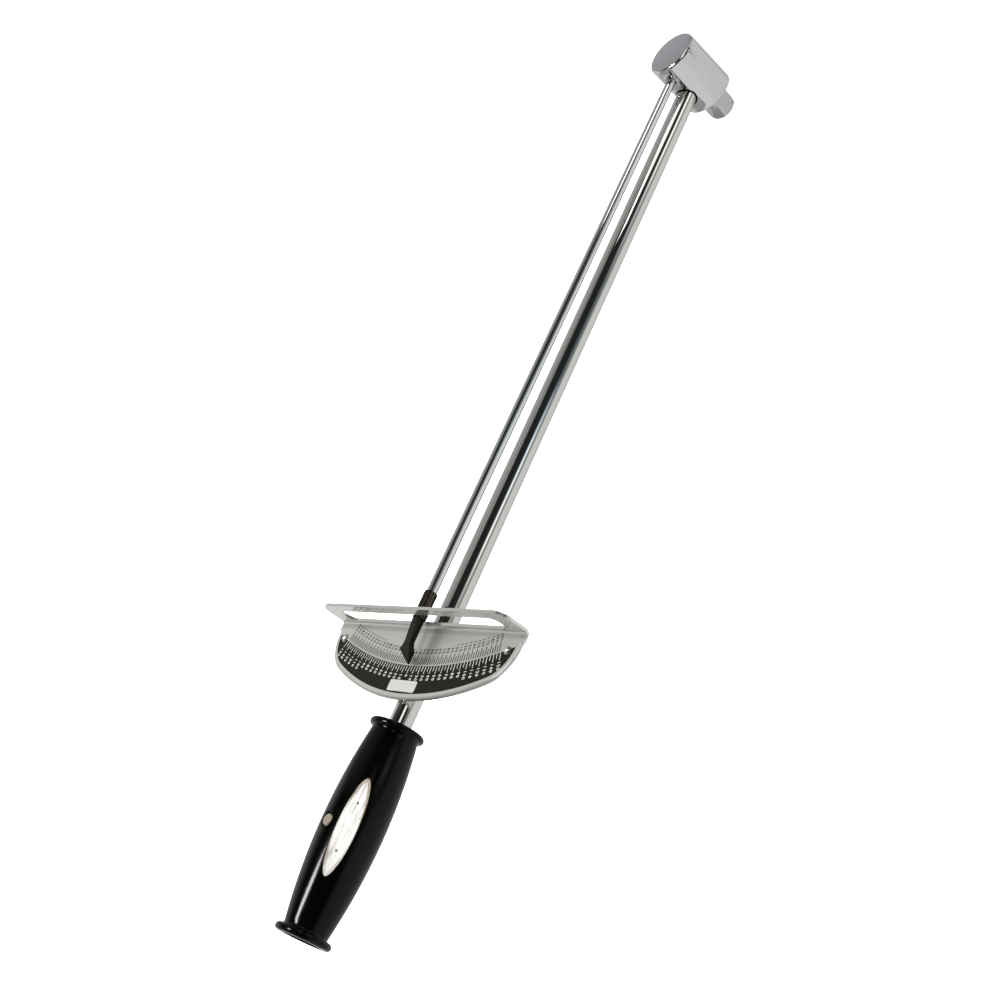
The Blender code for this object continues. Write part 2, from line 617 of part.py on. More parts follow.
def build_saddle():
    x1 = GUARD_X - SADDLE_SETBACK
    x0 = x1 - SADDLE_LENGTH
    half = SADDLE_HALF_WIDTH
    middle = (x0 + x1) / 2.0
    part = BEAM_AXIS_HEIGHT + SADDLE_PARTING / 2.0
    saddle = box("saddle_block", x0, x1, -half, half, part, SADDLE_TOP)
    boolean(saddle, groove("saddle_groove"), "DIFFERENCE")
    for side in (1.0, -1.0):
        hole = round_bar("saddle_hole", SCREW_RADIUS + FIT, SCREW_REACH + FIT + CUT_OVER, steps=24)
        hole.location = (middle, side * SCREW_OFFSET, part - CUT_OVER)
        boolean(saddle, hole, "DIFFERENCE")
    finish(saddle, zinc_steel, "plate_saddle")

    lid = BEAM_AXIS_HEIGHT - SADDLE_PARTING / 2.0
    base = lid - CAP_DEPTH
    cap = box("cap_block", x0, x1, -half, half, base, lid)
    bm = bmesh.new()
    bm.from_mesh(cap.data)
    low = [e for e in bm.edges if all(v.co.z < base + CUT_OVER for v in e.verts)]
    bmesh.ops.bevel(bm, geom=low, offset=CAP_ROUND, offset_type="OFFSET", segments=3,
                    profile=0.5, affect="EDGES", material=-1)
    bm.to_mesh(cap.data)
    bm.free()
    boolean(cap, groove("cap_groove"), "DIFFERENCE")
    for side in (1.0, -1.0):
        hole = round_bar("cap_hole", SCREW_RADIUS + FIT, CAP_DEPTH + 2.0 * CUT_OVER, steps=24)
        hole.location = (middle, side * SCREW_OFFSET, base - CUT_OVER)
        boolean(cap, hole, "DIFFERENCE")
        seat = round_bar("cap_seat", SCREW_HEAD_RADIUS + FIT, SCREW_HEAD + CUT_OVER, steps=32)
        seat.location = (middle, side * SCREW_OFFSET, base - CUT_OVER)
        boolean(cap, seat, "DIFFERENCE")
    finish(cap, zinc_steel, "saddle_cap")

    for label, side in (("left", 1.0), ("right", -1.0)):
        height = CAP_DEPTH + SADDLE_PARTING + SCREW_REACH
        neck = SCREW_HEAD - FIT
        edge = SCREW_HEAD_CHAMFER
        profile = [(0.0, height), (SCREW_RADIUS, height), (SCREW_RADIUS, neck), (SCREW_HEAD_RADIUS, neck)]
        profile += [(SCREW_HEAD_RADIUS, edge), (SCREW_HEAD_RADIUS - edge, 0.0), (0.0, 0.0)]
        screw = turned("screw", profile, 24)
        screw.location = (middle, side * SCREW_OFFSET, base)
        hexagon = arc(middle, side * SCREW_OFFSET, SCREW_SOCKET, 0.0, 300.0, 5)
        socket = prism("socket", hexagon, base - CUT_OVER, base + SCREW_SOCKET_DEPTH)
        boolean(screw, socket, "DIFFERENCE")
        finish(screw, zinc_steel, "saddle_screw_" + label)


def grip_radius(x):
    # a shallow barrel, fullest a little ahead of the pin
    return GRIP_RADIUS - GRIP_TAPER * ((x - BELLY_X) / HALF_GRIP) ** 2


def grip_profile():
    # from the front end to the rear end, as radius and position along the beam
    r = FLANGE_WIDTH / 2.0
    neck = FLANGE_WIDTH + GRIP_FILLET
    x0 = GRIP_FRONT_X - neck
    x1 = GRIP_REAR_X + neck
    front = FLANGE_RADIUS - r - grip_radius(x0)
    rear = FLANGE_RADIUS - r - grip_radius(x1)
    roll = [radians(90.0 - 22.5 * k) for k in range(9)]
    sweep = [radians(30.0 * k) for k in (1, 2)]
    points = [(0.0, GRIP_FRONT_X)]
    points += [(FLANGE_RADIUS - r + r * cos(a), GRIP_FRONT_X - r + r * sin(a)) for a in roll]
    points += [(grip_radius(x0) + front * (1.0 - sin(a)), x0 + GRIP_FILLET * cos(a)) for a in sweep]
    for k in range(21):
        x = x0 + (x1 - x0) * k / 20.0
        points.append((grip_radius(x), x))
    for a in reversed(sweep):
        points.append((grip_radius(x1) + rear * (1.0 - sin(a)), x1 - GRIP_FILLET * cos(a)))
    points += [(FLANGE_RADIUS - r + r * cos(a), GRIP_REAR_X + r + r * sin(a)) for a in roll]
    points.append((0.0, GRIP_REAR_X))
    return points


def facet_place():
    # the flat's own frame, over the pin, tipped so that its outline is centred on the pin
    centre = Matrix.Translation((PIN_X, 0.0, BEAM_AXIS_HEIGHT))
    tip = Matrix.Rotation(-atan(FACET_SLOPE), 4, "Y")
    rise = Matrix.Translation((0.0, 0.0, FACET_HEIGHT))
    return centre @ Matrix.Rotation(radians(FACET_ANGLE), 4, "X") @ rise @ tip


def facet_half_width(x):
    level = FACET_HEIGHT + FACET_SLOPE * x
    return sqrt(max(grip_radius(PIN_X + x) ** 2 - level ** 2, 0.0))


def rivet_places():
    half = RIVET_SPACING / 2.0
    return [facet_place() @ Matrix.Translation((x, 0.0, 0.0)) for x in (half, -half)]


def build_grip():
    grip = turned("grip_blank", grip_profile(), ROUND_STEPS, axis="X")
    grip.location = (0.0, 0.0, BEAM_AXIS_HEIGHT)
    m = GRIP_MOUTH
    b = GRIP_BORE
    far = GRIP_FRONT_X
    near = GRIP_REAR_X
    hollow = [(0.0, far + CUT_OVER), (b + m + CUT_OVER, far + CUT_OVER), (b, far - m), (b, near + m)]
    hollow += [(b + m + CUT_OVER, near - CUT_OVER), (0.0, near - CUT_OVER)]
    bore = turned("grip_bore", hollow, ROUND_STEPS, axis="X")
    bore.location = (0.0, 0.0, BEAM_AXIS_HEIGHT)
    boolean(grip, bore, "DIFFERENCE")
    top = GRIP_RADIUS + CUT_OVER
    ends = HALF_GRIP - FLANGE_WIDTH - CUT_OVER
    facet = box("facet", -ends, ends, -top, top, 0.0, 3.0 * CUT_OVER)
    facet.matrix_world = facet_place()
    boolean(grip, facet, "DIFFERENCE")
    hole = round_bar("grip_pin_hole", PIN_RADIUS + FIT, 2.0 * top, steps=32)
    hole.location = (PIN_X, 0.0, BEAM_AXIS_HEIGHT - top)
    boolean(grip, hole, "DIFFERENCE")
    ring = [(0.0, top), (PIN_RADIUS + PIN_RING + top - GRIP_RADIUS, top)]
    ring += [(PIN_RADIUS + FIT - SKIM, GRIP_RADIUS - PIN_RING), (0.0, GRIP_RADIUS - PIN_RING)]
    for turn in (0.0, pi):
        sink = turned("pin_sink", ring, 32)
        sink.data.transform(Matrix.Rotation(turn, 4, "X"))
        sink.location = (PIN_X, 0.0, BEAM_AXIS_HEIGHT)
        boolean(grip, sink, "DIFFERENCE")
    for place in rivet_places():
        hole = round_bar("rivet_hole", RIVET_SHANK + SKIM, RIVET_DEPTH + CUT_OVER, steps=12)
        hole.matrix_world = place @ Matrix.Translation((0.0, 0.0, -RIVET_DEPTH))
        boolean(grip, hole, "DIFFERENCE")
    return finish(grip, gloss_black, "handle_grip")


def build_pin():
    reach = GRIP_RADIUS - PIN_SINK
    pin = round_bar("pin_bar", PIN_RADIUS, 2.0 * reach, PIN_ROUND, steps=32)
    pin.location = (PIN_X, 0.0, BEAM_AXIS_HEIGHT - reach)
    bpy.context.view_layer.update()
    return finish(pin, nickel, "pivot_pin")


def build_nameplate():
    # bare plate with the outline that the flat leaves on the barrel
    reach = HALF_GRIP * sqrt((FACET_DEPTH - FACET_SLOPE * GRIP_BELLY / 2.0) / GRIP_TAPER)
    edge = []
    for k in range(1, 20):
        x = reach * cos(pi * k / 20.0)
        edge.append((x, max(facet_half_width(x) - NAMEPLATE_MARGIN, NAMEPLATE_MARGIN / 4.0)))
    outline = edge + [(x, -y) for x, y in reversed(edge)]
    plate = prism("nameplate_blank", outline, SKIM, SKIM + NAMEPLATE_THICKNESS)
    plate.matrix_world = facet_place()
    for place in rivet_places():
        hole = round_bar("nameplate_hole", RIVET_SHANK + SKIM, 4.0 * NAMEPLATE_THICKNESS, steps=12)
        hole.matrix_world = place @ Matrix.Translation((0.0, 0.0, -NAMEPLATE_THICKNESS))
        boolean(plate, hole, "DIFFERENCE")
    finish(plate, bright_plate, "nameplate")
    crown = NAMEPLATE_THICKNESS + 2.0 * SKIM
    for label, place in zip(("front", "rear"), rivet_places()):
        angles = [radians(a) for a in (0, 30, 60, 90)]
        dome = [(RIVET_RADIUS * sin(a), crown + RIVET_HEAD * cos(a)) for a in angles]
        low = SKIM - RIVET_DEPTH
        profile = dome + [(RIVET_SHANK, crown), (RIVET_SHANK, low), (0.0, low)]
        rivet = turned("rivet", profile, 12)
        rivet.matrix_world = place
        bpy.context.view_layer.update()
        finish(rivet, nickel, "nameplate_rivet_" + label)


def pivot(name, place, pieces):
    # an empty on the joint's axis carries the pieces that move about it
    empty = bpy.data.objects.new(name, None)
    empty.location = place
    parts.objects.link(empty)
    bpy.context.view_layer.update()
    for piece in pieces:
        obj = bpy.data.objects[piece]
        obj.parent = empty
        obj.matrix_parent_inverse = empty.matrix_world.inverted()


headPieces = ["drive_head", "detent_spring", "pointer_rod", "pointer"]
gripPieces = ["handle_grip", "pivot_pin", "nameplate", "nameplate_rivet_front", "nameplate_rivet_rear"]
build_head()
build_detent()
build_beam()
build_rod()
build_pointer()
build_plate()
build_stops()
build_saddle()
build_grip()
build_pin()
build_nameplate()
pivot("head_pivot", (FLEX_X, 0.0, BEAM_AXIS_HEIGHT), headPieces)
pivot("ball_slide", (0.0, 0.0, BALL_HEIGHT), ["detent_ball"])
pivot("grip_pivot", (PIN_X, 0.0, BEAM_AXIS_HEIGHT), gripPieces)
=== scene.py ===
from math import acos, asin, atan, atan2, cos, degrees, pi, radians, sin, sqrt

import bmesh
import bpy
from mathutils import Matrix, Vector


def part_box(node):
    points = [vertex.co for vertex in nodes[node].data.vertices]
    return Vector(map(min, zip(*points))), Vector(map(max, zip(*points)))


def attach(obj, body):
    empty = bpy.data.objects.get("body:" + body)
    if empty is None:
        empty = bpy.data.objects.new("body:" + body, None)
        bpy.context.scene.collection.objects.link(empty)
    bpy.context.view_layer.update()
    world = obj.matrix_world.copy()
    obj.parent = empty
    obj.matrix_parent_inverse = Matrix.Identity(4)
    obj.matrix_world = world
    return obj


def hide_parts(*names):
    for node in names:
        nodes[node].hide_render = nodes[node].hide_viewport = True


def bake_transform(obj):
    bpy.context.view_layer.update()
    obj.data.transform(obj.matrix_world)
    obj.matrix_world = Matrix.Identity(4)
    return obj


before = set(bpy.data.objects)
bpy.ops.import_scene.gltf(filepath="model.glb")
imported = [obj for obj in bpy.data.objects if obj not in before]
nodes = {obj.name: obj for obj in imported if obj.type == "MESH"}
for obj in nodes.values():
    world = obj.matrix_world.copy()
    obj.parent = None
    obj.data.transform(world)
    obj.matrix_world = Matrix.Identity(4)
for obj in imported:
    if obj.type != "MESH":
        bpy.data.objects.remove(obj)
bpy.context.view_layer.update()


# camera, at the place that matches the picture
cameraSettings = {
    "place": (-0.570612, -0.614759, 0.439031),
    "right": (0.396763, -0.610568, -0.685410),
    "up": (0.830380, -0.079496, 0.551497),
    "back": (-0.391213, -0.787964, 0.475462),
    "lens": 54.054,
    "sensor": 36.0,
    "shiftX": 0.02387,
    "shiftY": -0.0899,
}


def makeCamera(s):
    data = bpy.data.cameras.new("camera")
    data.sensor_fit = "HORIZONTAL"
    data.sensor_width = s["sensor"]
    data.lens = s["lens"]
    data.shift_x = s["shiftX"]
    data.shift_y = s["shiftY"]
    data.clip_start = 0.01
    data.clip_end = 100.0
    cam = bpy.data.objects.new("camera", data)
    bpy.context.scene.collection.objects.link(cam)
    turn = Matrix((s["right"], s["up"], s["back"])).transposed()
    cam.matrix_world = Matrix.Translation(s["place"]) @ turn.normalized().to_4x4()
    bpy.context.scene.camera = cam
    return cam


camera = makeCamera(cameraSettings)
print("camera placed")


# shader trees: a wire is one socket that takes part in sums
class Wire:
    def __init__(self, tree, socket):
        self.tree = tree
        self.socket = socket

    def maths(self, operation, *values):
        made = self.tree.nodes.new("ShaderNodeMath")
        made.operation = operation
        for slot, value in zip(made.inputs, values):
            plug(self.tree, slot, value)
        return Wire(self.tree, made.outputs[0])

    def __add__(self, other):
        return self.maths("ADD", self, other)

    def __radd__(self, other):
        return self.maths("ADD", other, self)

    def __sub__(self, other):
        return self.maths("SUBTRACT", self, other)

    def __rsub__(self, other):
        return self.maths("SUBTRACT", other, self)

    def __mul__(self, other):
        return self.maths("MULTIPLY", self, other)

    def __rmul__(self, other):
        return self.maths("MULTIPLY", other, self)

    def __truediv__(self, other):
        return self.maths("DIVIDE", self, other)

    def __rtruediv__(self, other):
        return self.maths("DIVIDE", other, self)

    def __gt__(self, other):
        return self.maths("GREATER_THAN", self, other)

    def __lt__(self, other):
        return self.maths("LESS_THAN", self, other)


def plug(tree, slot, value):
    if isinstance(value, Wire):
        tree.links.new(value.socket, slot)
    else:
        slot.default_value = value


class Shading:
    # makes nodes in a tree; wires make their own maths nodes
    def __init__(self, tree):
        self.tree = tree

    def node(self, kind, settings=None, inputs=None, out=0):
        made = self.tree.nodes.new("ShaderNode" + kind)
        for key, value in (settings or {}).items():
            if key == "stops":
                stops = made.color_ramp.elements
                stops.remove(stops[1])
                stops[0].position = value[0][0]
                stops[0].color = value[0][1]
                for at, colour in value[1:]:
                    stops.new(at).color = colour
            else:
                setattr(made, key, value)
        for key, value in (inputs or {}).items():
            plug(self.tree, made.inputs[key], value)
        return Wire(self.tree, made.outputs[out])

    def between(self, value, low, high):
        # 0 below low, 1 above high, smooth between them
        return self.node("MapRange", {"interpolation_type": "SMOOTHSTEP"},
                         {"Value": value, "From Min": low, "From Max": high})

    def mix(self, factor, first, second):
        return self.node("Mix", {"data_type": "RGBA"}, {0: factor, 6: first, 7: second}, 2)


class Finish(Shading):
    # a material, with its settings straight on the shader's own sockets
    def __init__(self, name, settings):
        self.mat = bpy.data.materials.new(name)
        self.mat.use_nodes = True
        super().__init__(self.mat.node_tree)
        self.shader = self.tree.nodes["Principled BSDF"]
        for slot, value in settings.items():
            self.shader.inputs[slot].default_value = value
        self.place = self.node("TexCoord", out="Object")

    def axis(self, name):
        return self.node("SeparateXYZ", {}, {0: self.place}, name)

    def grain(self, scale, stretch=(1.0, 1.0, 1.0), detail=3.0, rough=0.55):
        # noise in metres, finer along an axis the larger its stretch
        at = self.node("VectorMath", {"operation": "MULTIPLY"}, {0: self.place, 1: stretch})
        return self.node("TexNoise", {}, {"Vector": at, "Scale": scale, "Detail": detail, "Roughness": rough})

    def bump(self, height, strength, distance):
        made = self.node("Bump", {}, {"Strength": strength, "Distance": distance, "Height": height})
        plug(self.tree, self.shader.inputs["Normal"], made)

    def set(self, slot, value):
        plug(self.tree, self.shader.inputs[slot], value)


def tint(r, g, b):
    return (r, g, b, 1.0)


# studio: pale floor, white all round for the eye and for matt surfaces,
# and a dark room with windows for what the chrome mirrors
studioSettings = {
    "floorDrop": 0.30,
    "floorSize": 80.0,
    "floorGlow": 1.0,
    "matt": 0.95,
    # brightness by the angle round the beam, where 0 is level behind it and 90 overhead,
    # for three slopes along the beam
    "rear": [(-180, 1.0), (-60, 1.0), (-45, 0.52), (-24, 0.42), (0, 0.46), (60, 0.50), (80, 0.40),
             (98, 0.05), (150, 0.03), (165, 0.30), (180, 1.0)],
    "middle": [(-180, 0.50), (-168, 0.95), (-100, 0.90), (-70, 0.72), (-42, 0.80), (-6, 0.80), (10, 0.90),
               (27, 1.0), (38, 0.55), (52, 0.08), (60, 0.02), (160, 0.01), (172, 0.04), (180, 0.50)],
    "front": [(-180, 0.36), (-172, 0.32), (-167, 0.36), (-158, 0.92), (-118, 0.90), (-98, 0.84),
              (-69, 0.60), (-42, 0.62), (-24, 0.60), (0, 0.56), (30, 0.50), (55, 0.46), (67, 0.40), (80, 0.34),
              (90, 0.18), (98, 0.06), (105, 0.02), (150, 0.03), (165, 0.10), (180, 0.36)],
    "rearTo": (-0.55, -0.35),
    "frontFrom": (0.18, 0.26),
    # brightness of the strip across from the camera, by the slope along the beam
    "strip": [(-1.0, 0.04), (0.20, 0.22), (0.24, 0.26), (0.29, 0.75), (0.32, 1.6), (0.385, 1.35),
              (0.43, 0.16), (0.49, 0.16), (0.54, 0.75), (0.57, 1.7), (1.0, 1.7)],
    "stripFrom": (153.0, 167.0),
    "stripTo": (174.0, 184.0),
    "stripSlope": (0.15, 0.21),
    # a window overhead, near the head: angle, slope and brightness, with soft edges
    "window": ((101.0, 111.0), (123.0, 133.0), (0.53, 0.58), (0.90, 1.00), 1.5),
}


def makeStudio(s):
    world = bpy.data.worlds.new("studio")
    world.use_nodes = True
    bpy.context.scene.world = world
    sh = Shading(world.node_tree)
    way = sh.node("TexCoord", out="Generated")
    slope, across, up = [sh.node("SeparateXYZ", {}, {0: way}, name) for name in ("X", "Y", "Z")]
    turn = up.maths("ARCTAN2", up, across) * (180.0 / pi)
    at = (turn + 180.0) / 360.0
    rear, middle, front = [sh.node("ValToRGB", {"stops": [((a + 180.0) / 360.0, tint(v, v, v)) for a, v in s[key]]},
                                   {0: at}) for key in ("rear", "middle", "front")]
    seen = sh.mix(sh.between(slope, *s["rearTo"]), rear, middle)
    seen = sh.mix(sh.between(slope, *s["frontFrom"]), seen, front)
    # a ramp holds values up to 1, so the strip is doubled after it
    stops = [((x + 1.0) / 2.0, tint(v / 2.0, v / 2.0, v / 2.0)) for x, v in s["strip"]]
    strip = sh.node("ValToRGB", {"stops": stops}, {0: (slope + 1.0) / 2.0})
    double = sh.node("VectorMath", {"operation": "SCALE"}, {0: strip, "Scale": 2.0})
    band = sh.between(turn, *s["stripFrom"]) * (1.0 - sh.between(turn, *s["stripTo"]))
    seen = sh.mix(band * sh.between(slope, *s["stripSlope"]), seen, double)
    low, high, near, far, glow = s["window"]
    pane = sh.between(turn, *low) * (1.0 - sh.between(turn, *high))
    pane = pane * sh.between(slope, *near) * (1.0 - sh.between(slope, *far))
    seen = sh.mix(pane, seen, tint(glow, glow, glow))
    # a cool cast low down between the strips
    cool = sh.between(slope, 0.30, 0.42) * (1.0 - sh.between(slope, 0.46, 0.56))
    cast = sh.node("VectorMath", {"operation": "MULTIPLY"}, {0: seen, 1: (0.80, 1.0, 1.20)})
    seen = sh.mix(cool * sh.between(turn, 120.0, 135.0) * 0.8, seen, cast)
    cast = sh.node("VectorMath", {"operation": "MULTIPLY"}, {0: seen, 1: (0.99, 1.0, 1.08)})
    level = sh.between(turn, 15.0, 25.0) * (1.0 - sh.between(turn, 45.0, 60.0))
    seen = sh.mix(level * sh.between(slope, 0.55, 0.60), seen, cast)
    eye = sh.node("LightPath", out="Is Camera Ray")
    matt = sh.node("LightPath", out="Is Diffuse Ray")
    m = s["matt"]
    seen = sh.mix(matt, seen, tint(m, m, m))
    seen = sh.mix(eye, seen, tint(1.0, 1.0, 1.0))
    plug(world.node_tree, world.node_tree.nodes["Background"].inputs["Color"], seen)

    bm = bmesh.new()
    bmesh.ops.create_grid(bm, x_segments=8, y_segments=8, size=s["floorSize"] / 2.0)
    bmesh.ops.translate(bm, vec=(0.0, 0.0, -s["floorDrop"]), verts=bm.verts)
    mesh = bpy.data.meshes.new("floor")
    bm.to_mesh(mesh)
    bm.free()
    floor = bpy.data.objects.new("floor", mesh)
    bpy.context.scene.collection.objects.link(floor)
    glow = s["floorGlow"]
    paper = Finish("floor_paper", {"Base Color": tint(0.9, 0.9, 0.9), "Roughness": 0.9,
                                   "Specular IOR Level": 0.0, "Emission Color": tint(1.0, 1.0, 1.0),
                                   "Emission Strength": glow})
    mesh.materials.append(paper.mat)
    floor.visible_glossy = False
    return floor


makeStudio(studioSettings)

keySettings = {
    "over": (-0.5175, 0.0, 0.042),   # what it shines on
    "towards": (-0.149, 0.120, 0.975),
    "distance": 2.0,
    "sizeX": 0.36,
    "sizeY": 0.62,
    "power": 44.0,
}


# dim window beside the camera, mirrored by the nameplate and the head's rim
windowSettings = {
    "over": (-0.4819, -0.012, 0.040),
    "towards": (0.167, -0.647, 0.744),
    "distance": 1.5,
    "sizeX": 0.42,
    "sizeY": 0.47,
    "power": 0.86,
}

# small soft box over the head, for the sparkle round its rim
sparkSettings = {
    "over": (0.0, 0.0, 0.053),
    "towards": (0.19, -0.40, 0.90),
    "distance": 0.14,
    "sizeX": 0.11,
    "sizeY": 0.05,
    "power": 0.034,
}


def makeKey(s):
    data = bpy.data.lights.new("overhead", "AREA")
    data.shape = "RECTANGLE"
    data.size = s["sizeX"]
    data.size_y = s["sizeY"]
    data.energy = s["power"]
    lamp = bpy.data.objects.new("overhead", data)
    bpy.context.scene.collection.objects.link(lamp)
    lamp.visible_camera = False
    way = Vector(s["towards"]).normalized()
    turn = way.to_track_quat("Z", "Y").to_matrix().to_4x4()
    lamp.matrix_world = Matrix.Translation(Vector(s["over"]) + way * s["distance"]) @ turn
    return lamp


makeKey(keySettings)
makeKey(windowSettings)
makeKey(sparkSettings)
print("studio ready")

view = bpy.context.scene.view_settings
view.view_transform = "Standard"
view.look = "None"


# finishes
def chrome(name, colour, rough, spread, wave):
    made = Finish(name, {"Metallic": 1.0})
    cloud = made.grain(60.0, detail=4.0)
    fine = made.grain(1400.0, detail=2.0)
    low = tint(*[c * 0.90 for c in colour])
    made.set("Base Color", made.mix(cloud, low, tint(*colour)))
    made.set("Roughness", rough + spread * fine * cloud)
    made.bump(fine, wave, 0.00001)
    return made.mat


headChrome = chrome("head_chrome", (0.56, 0.575, 0.56), 0.10, 0.10, 0.06)
squareChrome = chrome("square_chrome", (0.47, 0.46, 0.45), 0.10, 0.12, 0.08)
studChrome = chrome("stud_chrome", (0.80, 0.79, 0.74), 0.22, 0.10, 0.05)


def drawnChrome(name, colour, rough, lines):
    # chrome on a drawn bar, with faint marks along it
    made = Finish(name, {"Metallic": 1.0})
    along = made.grain(lines, (0.02, 1.0, 1.0), 3.0)
    cloud = made.grain(45.0, detail=3.0)
    made.set("Base Color", made.mix(cloud, tint(*[c * 0.96 for c in colour]), tint(*colour)))
    made.set("Roughness", rough + 0.05 * along * cloud)
    made.bump(along, 0.05, 0.00001)
    return made.mat


beamChrome = drawnChrome("beam_chrome", (0.60, 0.605, 0.575), 0.03, 1500.0)
rodChrome = drawnChrome("rod_chrome", (0.68, 0.685, 0.67), 0.08, 2200.0)


def plateArc(corner, side):
    # the arc of the plate's lower edge and the round of its corners, as centres and radii
    low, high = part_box("scale_plate")
    cx = high[0] - 0.0038 - side
    cy = high[1] - 0.0008 - corner
    rise = cx - low[0]
    big = (rise ** 2 + cy ** 2 - corner ** 2) / (2.0 * (rise - corner))
    return low[0] + big, big, cx, cy


plateSettings = {
    "corner": 0.0220,
    "side": 0.0042,
    "roll": (0.0008, 0.0015),
    "silver": (0.68, 0.685, 0.655),
    "dull": (0.56, 0.56, 0.53),
    "rough": 0.26,
    "guardRough": 0.10,
}


def plateSilver(s):
    made = Finish("plate_silver", {"Metallic": 0.88})
    brushed = made.grain(2600.0, (1.0, 0.05, 1.0), 3.0)
    cloud = made.grain(55.0, (1.0, 0.6, 1.0), 4.0)
    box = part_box("scale_plate")
    guard = made.between(made.axis("X"), box[1][0] - 0.0026, box[1][0] - 0.0018)
    # painted shade where the plate bends up into the guard, darkening the silver there
    foldShade = made.between(made.axis("X"), box[1][0] - 0.0062, box[1][0] - 0.0036) * (1.0 - guard)
    centre, big, cx, cy = plateArc(s["corner"], s["side"])
    x = made.axis("X") - centre
    y = made.axis("Y")
    square = x * x + y * y
    inside = big - square.maths("SQRT", square)
    # painted shade along the rolled outer edge, where it curves away from the light
    roll = (1.0 - made.between(inside, *s["roll"])) * (1.0 - guard)
    colour = made.mix(cloud, tint(*s["dull"]), tint(*s["silver"]))
    colour = made.mix(roll * 0.6, colour, tint(0.22, 0.22, 0.19))
    made.set("Base Color", made.mix(foldShade * 0.45, colour, tint(0.20, 0.19, 0.14)))
    made.set("Roughness", s["rough"] + 0.10 * brushed + (s["guardRough"] - s["rough"]) * guard)
    made.bump(brushed, 0.05, 0.00002)
    return made.mat


plateMetal = plateSilver(plateSettings)


def paint(name, colour, worn, rough, gloss):
    made = Finish(name, {"Specular IOR Level": gloss})
    fine = made.grain(900.0, detail=4.0)
    patch = made.between(made.grain(240.0, detail=5.0, rough=0.7), 0.52, 0.72)
    made.set("Base Color", made.mix(patch, tint(*colour), tint(*worn)))
    made.set("Roughness", rough + 0.15 * fine)
    made.bump(fine, 0.10, 0.00002)
    return made.mat


enamel = paint("black_enamel", (0.0055, 0.0050, 0.0030), (0.013, 0.012, 0.009), 0.36, 0.10)
whiteInk = paint("white_ink", (0.62, 0.63, 0.60), (0.40, 0.41, 0.38), 0.50, 0.20)
blackInk = paint("black_ink", (0.020, 0.020, 0.018), (0.08, 0.08, 0.07), 0.45, 0.15)


def pointerBlack():
    made = Finish("pointer_black", {"Specular IOR Level": 0.14})
    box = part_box("pointer")
    ferrule = made.between(made.axis("X"), box[1][0] - 0.0152, box[1][0] - 0.0146)
    streak = made.between(made.grain(1100.0, (0.03, 1.0, 1.0), 3.0), 0.50, 0.68)
    pit = made.grain(1500.0, detail=3.0)
    dark = made.mix(pit, tint(0.003, 0.0026, 0.0015), tint(0.008, 0.0072, 0.0045))
    made.set("Base Color", made.mix(streak * (0.15 + 0.85 * ferrule), dark, tint(0.075, 0.062, 0.040)))
    made.set("Roughness", 0.42 + 0.2 * pit)
    made.bump(pit, 0.12, 0.00003)
    return made.mat


pointerPlastic = pointerBlack()


def gripGloss():
    made = Finish("grip_gloss", {"Specular IOR Level": 0.13})
    cloud = made.grain(90.0, detail=4.0)
    fine = made.grain(700.0, detail=3.0)
    made.set("Base Color", made.mix(cloud, tint(0.0003, 0.0003, 0.0002), tint(0.0012, 0.0012, 0.0009)))
    made.set("Roughness", 0.11 + 0.06 * cloud)
    made.bump(fine, 0.04, 0.00002)
    return made.mat


gripBlack = gripGloss()


def plated(name, colour, dull, rough):
    made = Finish(name, {"Metallic": 1.0})
    patch = made.grain(420.0, detail=5.0, rough=0.65)
    fine = made.grain(2400.0, detail=2.0)
    made.set("Base Color", made.mix(patch, tint(*dull), tint(*colour)))
    made.set("Roughness", rough + 0.15 * patch)
    made.bump(fine, 0.10, 0.00002)
    return made.mat


nickel = plated("nickel", (0.62, 0.55, 0.44), (0.45, 0.37, 0.26), 0.24)
zinc = plated("zinc", (0.50, 0.51, 0.52), (0.36, 0.37, 0.37), 0.34)
springSteel = plated("spring_steel", (0.34, 0.34, 0.35), (0.22, 0.21, 0.20), 0.30)


nameplateSettings = {
    "thick": 0.0004,
    "tilt": 46.0,          # the flat's angle from the top
    "edge": 0.0007,
}


def nameplateBright(s):
    made = Finish("nameplate_bright", {"Metallic": 0.90, "Specular IOR Level": 0.5})
    streak = made.between(made.grain(900.0, (0.05, 1.0, 1.0), 4.0), 0.46, 0.66)
    cloud = made.between(made.grain(130.0, (0.4, 1.0, 1.0), 4.0), 0.35, 0.65)
    low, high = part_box("nameplate")
    middle = [(a + b) / 2.0 for a, b in zip(low, high)]
    tilt = radians(s["tilt"])
    half = (high[2] - low[2] - s["thick"] * cos(tilt)) / sin(tilt) / 2.0
    big = (((high[0] - low[0]) / 2.0) ** 2 + half ** 2) / (2.0 * half)
    x = made.axis("X") - middle[0]
    across = (made.axis("Y") - middle[1]) * cos(tilt) + (made.axis("Z") - middle[2]) * sin(tilt)
    reach = (big ** 2 - x * x).maths("SQRT", big ** 2 - x * x)
    inside = reach - (big - half) - across.maths("ABSOLUTE", across)
    bright = made.mix(streak * cloud, tint(0.88, 0.875, 0.85), tint(0.64, 0.61, 0.54))
    rim = 1.0 - made.between(inside, s["edge"] * 0.2, s["edge"])
    made.set("Base Color", made.mix(rim * (0.35 + 0.5 * cloud), bright, tint(0.30, 0.24, 0.16)))
    made.set("Roughness", 0.16 + 0.20 * streak * cloud)
    made.bump(streak, 0.06, 0.00002)
    return made.mat


nameplateMetal = nameplateBright(nameplateSettings)


def badgeSilver():
    made = Finish("badge_silver", {"Metallic": 0.4})
    brushed = made.grain(1800.0, (1.0, 0.04, 1.0), 3.0)
    made.set("Base Color", made.mix(brushed, tint(0.42, 0.42, 0.40), tint(0.56, 0.56, 0.54)))
    made.set("Roughness", 0.32 + 0.12 * brushed)
    made.bump(brushed, 0.10, 0.00002)
    return made.mat


badgeMetal = badgeSilver()

